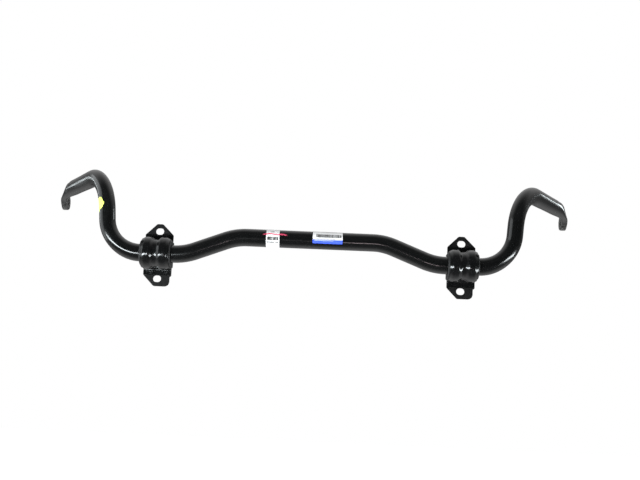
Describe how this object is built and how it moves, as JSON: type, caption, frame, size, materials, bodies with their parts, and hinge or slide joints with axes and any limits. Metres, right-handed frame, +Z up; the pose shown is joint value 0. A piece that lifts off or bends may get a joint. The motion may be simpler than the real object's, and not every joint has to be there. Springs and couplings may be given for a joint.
{
  "type": "stabilizer bar",
  "caption": "Bent tubular stabilizer bar with flattened, pierced ends, held in two rubber bushings by ribbed straps on flat back plates with oval bolt holes.",
  "frame": {"origin": "halfway between the two bushings, on the axis through both", "axes": "+X along the bushing axis, to the right arm; +Y from the bar to the frame that the brackets bolt to; +Z up, the way the arms rise"},
  "size_m": [1.0776, 0.2485, 0.2308],
  "materials": {
    "bar_paint": "semi-gloss black paint",
    "strap_paint": "satin black coat",
    "plate_coat": "matt black coat",
    "bushing_rubber": "matt",
    "tape_paper": "white printed tape",
    "label_paper": "white and blue printed label"
  },
  "bodies": {
    "left_bracket": {"left_back_plate": "plate_coat", "left_bracket_strap": "strap_paint", "left_bushing": "bushing_rubber"},
    "bar": {"stabilizer_bar": "bar_paint", "tape_label": "tape_paper", "part_label": "label_paper"},
    "right_bracket": {"right_back_plate": "plate_coat", "right_bracket_strap": "strap_paint", "right_bushing": "bushing_rubber"}
  },
  "joints": [
    {"name": "bar_swing", "type": "hinge", "parent": "left_bracket", "child": "bar", "pos_m": [0, 0, 0], "axis": [1, 0, 0], "range_deg": [-25, 25]},
    {"name": "right_bracket_turn", "type": "hinge", "parent": "bar", "child": "right_bracket", "pos_m": [0, 0, 0], "axis": [1, 0, 0], "range_deg": [-25, 25]}
  ],
  "couplings": [
    {"joint": "right_bracket_turn", "follows": "bar_swing", "ratio": -1}
  ]
}
